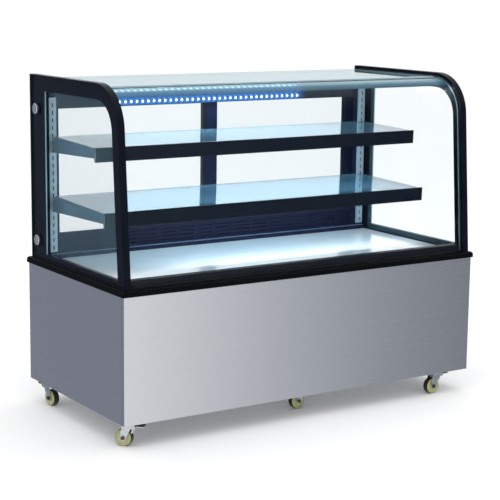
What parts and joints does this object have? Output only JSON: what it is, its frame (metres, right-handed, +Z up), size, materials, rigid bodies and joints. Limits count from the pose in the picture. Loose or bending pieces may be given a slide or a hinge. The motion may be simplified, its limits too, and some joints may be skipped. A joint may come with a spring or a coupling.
{
  "type": "refrigerated bakery display case",
  "caption": "Refrigerated cake display case: stainless base on casters, bent glass front, insulated glass ends, lit glass shelves and sliding rear doors.",
  "frame": {"origin": "on the floor under the middle of the case", "axes": "+X along the case to the right seen from the customer's side, -Y the customer's side, +Z up"},
  "size_m": [1.5, 0.74, 1.205],
  "materials": {
    "brushed_stainless": "fine brushed grain",
    "dark_trim": "satin black-brown powder coat",
    "black_steel": "satin powder coat",
    "galvanised": "galvanised sheet",
    "white_pan": "smooth gloss coat",
    "foam": "foam with a skin",
    "black_plastic": "moulded",
    "glass": "float glass",
    "black_print": "ceramic-printed band",
    "bolt_silver": "satin",
    "dark_aluminium": "dark anodised",
    "zinc": "zinc plate",
    "bracket_grey": "grey powder coat",
    "light_bar": "light diffuser",
    "cream_plastic": "moulded wheel",
    "fins": "fin stock",
    "black_enamel": "gloss enamel",
    "copper": "drawn copper"
  },
  "bodies": {
    "cabinet": {"chassis_frame": "galvanised", "front_panel": "brushed_stainless", "left_side_panel": "brushed_stainless", "right_side_panel": "brushed_stainless", "rear_louvre_panel": "brushed_stainless", "cable_gland": "black_plastic", "deck_trim": "dark_trim", "insulated_tub": "foam", "deck_pan": "white_pan", "rear_duct": "black_steel", "left_glazing_frame": "black_print", "right_glazing_frame": "black_print", "left_side_glass": "glass", "right_side_glass": "glass", "glass_bolts": "bolt_silver", "front_glass": "glass", "front_glass_rail": "black_print", "roof_glass": "glass", "rear_posts": "dark_aluminium", "rear_header": "dark_aluminium", "rear_sill": "dark_aluminium", "upper_shelf_glass": "glass", "lower_shelf_glass": "glass", "upper_shelf_rail": "black_steel", "lower_shelf_rail": "black_steel", "shelf_brackets": "bracket_grey", "shelf_standards": "zinc", "led_strips": "light_bar", "caster_plates": "zinc", "condenser_coil": "fins", "condenser_shroud": "black_steel", "compressor": "black_enamel", "evaporator_coil": "fins", "blower_housing": "galvanised", "drain_tray": "black_plastic", "refrigerant_pipes": "copper", "thermostat": "black_plastic", "switch_bezels": "black_plastic"},
    "left_door": {"left_door_frame": "dark_aluminium", "left_door_glass": "glass"},
    "right_door": {"right_door_frame": "dark_aluminium", "right_door_glass": "glass"},
    "condenser_fan_rotor": {"condenser_fan": "black_plastic"},
    "blower": {"blower_rotor": "black_plastic"},
    "power_switch": {"power_rocker": "black_plastic"},
    "light_switch": {"light_rocker": "black_plastic"},
    "front_left_fork": {"front_left_caster_fork": "zinc"},
    "front_left_wheel": {"front_left_caster_wheel": "cream_plastic"},
    "front_middle_fork": {"front_middle_caster_fork": "zinc"},
    "front_middle_wheel": {"front_middle_caster_wheel": "cream_plastic"},
    "front_right_fork": {"front_right_caster_fork": "zinc"},
    "front_right_wheel": {"front_right_caster_wheel": "cream_plastic"},
    "rear_left_fork": {"rear_left_caster_fork": "zinc"},
    "rear_left_wheel": {"rear_left_caster_wheel": "cream_plastic"},
    "rear_right_fork": {"rear_right_caster_fork": "zinc"},
    "rear_right_wheel": {"rear_right_caster_wheel": "cream_plastic"},
    "front_left_brake": {"front_left_brake_pedal": "zinc"},
    "front_right_brake": {"front_right_brake_pedal": "zinc"},
    "rear_left_brake": {"rear_left_brake_pedal": "zinc"},
    "rear_right_brake": {"rear_right_brake_pedal": "zinc"}
  },
  "joints": [
    {"name": "left_door_slide", "type": "slide", "parent": "cabinet", "child": "left_door", "axis": [1, 0, 0], "range_m": [0, 0.64]},
    {"name": "right_door_slide", "type": "slide", "parent": "cabinet", "child": "right_door", "axis": [-1, 0, 0], "range_m": [0, 0.64]},
    {"name": "condenser_fan_spin", "type": "hinge", "parent": "cabinet", "child": "condenser_fan_rotor", "pos_m": [0.26, 0.237, 0.225], "axis": [0, 1, 0], "continuous": true},
    {"name": "blower_spin", "type": "hinge", "parent": "cabinet", "child": "blower", "pos_m": [0, -0.15, 0.474], "axis": [1, 0, 0], "continuous": true},
    {"name": "power_rocker_tilt", "type": "hinge", "parent": "cabinet", "child": "power_switch", "pos_m": [-0.45, 0.359, 0.346], "axis": [1, 0, 0], "range_deg": [-12, 0]},
    {"name": "light_rocker_tilt", "type": "hinge", "parent": "cabinet", "child": "light_switch", "pos_m": [-0.4, 0.359, 0.346], "axis": [1, 0, 0], "range_deg": [-12, 0]},
    {"name": "front_left_swivel", "type": "hinge", "parent": "cabinet", "child": "front_left_fork", "pos_m": [-0.698, -0.322, 0.079], "axis": [0, 0, 1], "continuous": true},
    {"name": "front_left_roll", "type": "hinge", "parent": "front_left_fork", "child": "front_left_wheel", "pos_m": [-0.71229, -0.30527, 0.03], "axis": [-0.7604, -0.6494, 0], "continuous": true},
    {"name": "front_left_brake_press", "type": "hinge", "parent": "front_left_fork", "child": "front_left_brake", "pos_m": [-0.68696, -0.33493, 0.07], "axis": [0.7604, 0.6494, 0], "range_deg": [0, 12]},
    {"name": "front_middle_swivel", "type": "hinge", "parent": "cabinet", "child": "front_middle_fork", "pos_m": [0.063, -0.234, 0.079], "axis": [0, 0, 1], "continuous": true},
    {"name": "front_middle_roll", "type": "hinge", "parent": "front_middle_fork", "child": "front_middle_wheel", "pos_m": [0.041, -0.234, 0.03], "axis": [0, -1, 0], "continuous": true},
    {"name": "front_right_swivel", "type": "hinge", "parent": "cabinet", "child": "front_right_fork", "pos_m": [0.622, -0.328, 0.079], "axis": [0, 0, 1], "continuous": true},
    {"name": "front_right_roll", "type": "hinge", "parent": "front_right_fork", "child": "front_right_wheel", "pos_m": [0.6, -0.328, 0.03], "axis": [0, -1, 0], "continuous": true},
    {"name": "front_right_brake_press", "type": "hinge", "parent": "front_right_fork", "child": "front_right_brake", "pos_m": [0.639, -0.328, 0.07], "axis": [0, 1, 0], "range_deg": [0, 12]},
    {"name": "rear_left_swivel", "type": "hinge", "parent": "cabinet", "child": "rear_left_fork", "pos_m": [-0.7135, 0.2765, 0.079], "axis": [0, 0, 1], "continuous": true},
    {"name": "rear_left_roll", "type": "hinge", "parent": "rear_left_fork", "child": "rear_left_wheel", "pos_m": [-0.70968, 0.25483, 0.03], "axis": [0.9848, 0.1736, 0], "continuous": true},
    {"name": "rear_left_brake_press", "type": "hinge", "parent": "rear_left_fork", "child": "rear_left_brake", "pos_m": [-0.71645, 0.29324, 0.07], "axis": [-0.9848, -0.1736, 0], "range_deg": [0, 12]},
    {"name": "rear_right_swivel", "type": "hinge", "parent": "cabinet", "child": "rear_right_fork", "pos_m": [0.614, 0.262, 0.079], "axis": [0, 0, 1], "continuous": true},
    {"name": "rear_right_roll", "type": "hinge", "parent": "rear_right_fork", "child": "rear_right_wheel", "pos_m": [0.59333, 0.26952, 0.03], "axis": [-0.342, -0.9397, 0], "continuous": true},
    {"name": "rear_right_brake_press", "type": "hinge", "parent": "rear_right_fork", "child": "rear_right_brake", "pos_m": [0.62997, 0.25619, 0.07], "axis": [0.342, 0.9397, 0], "range_deg": [0, 12]}
  ]
}
